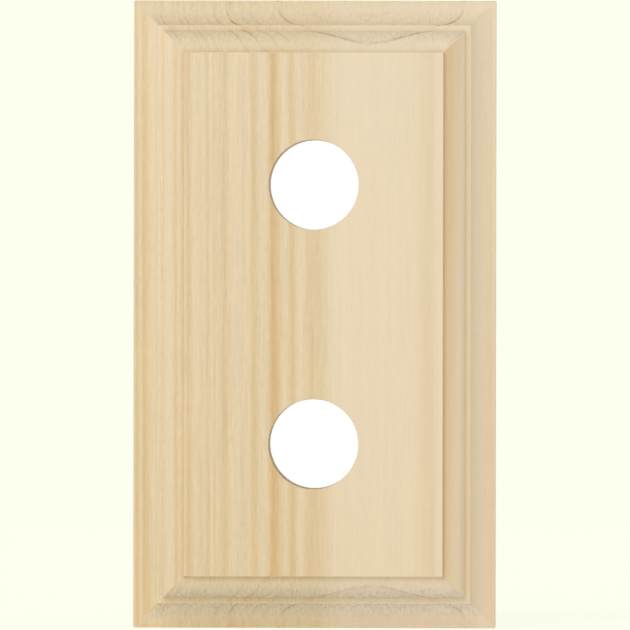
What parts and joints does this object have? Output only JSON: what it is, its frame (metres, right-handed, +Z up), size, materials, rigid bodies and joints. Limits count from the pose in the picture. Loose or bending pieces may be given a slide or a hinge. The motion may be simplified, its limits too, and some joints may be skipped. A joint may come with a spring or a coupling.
{
  "type": "socket block",
  "caption": "Upright rectangular wall block of solid pine, with a mitred cove and ovolo moulding round a raised panel that is bored through with round sockets.",
  "frame": {"origin": "centre of the flat back, on the wall", "axes": "+X across the width to the right as seen from the front, +Y into the wall, +Z up along the height; the moulded face looks along -Y"},
  "size_m": [0.089, 0.019, 0.154],
  "materials": {
    "pine": "bare planed and sanded, unfinished"
  },
  "bodies": {
    "root": {"socket_block": "pine"}
  },
  "joints": []
}
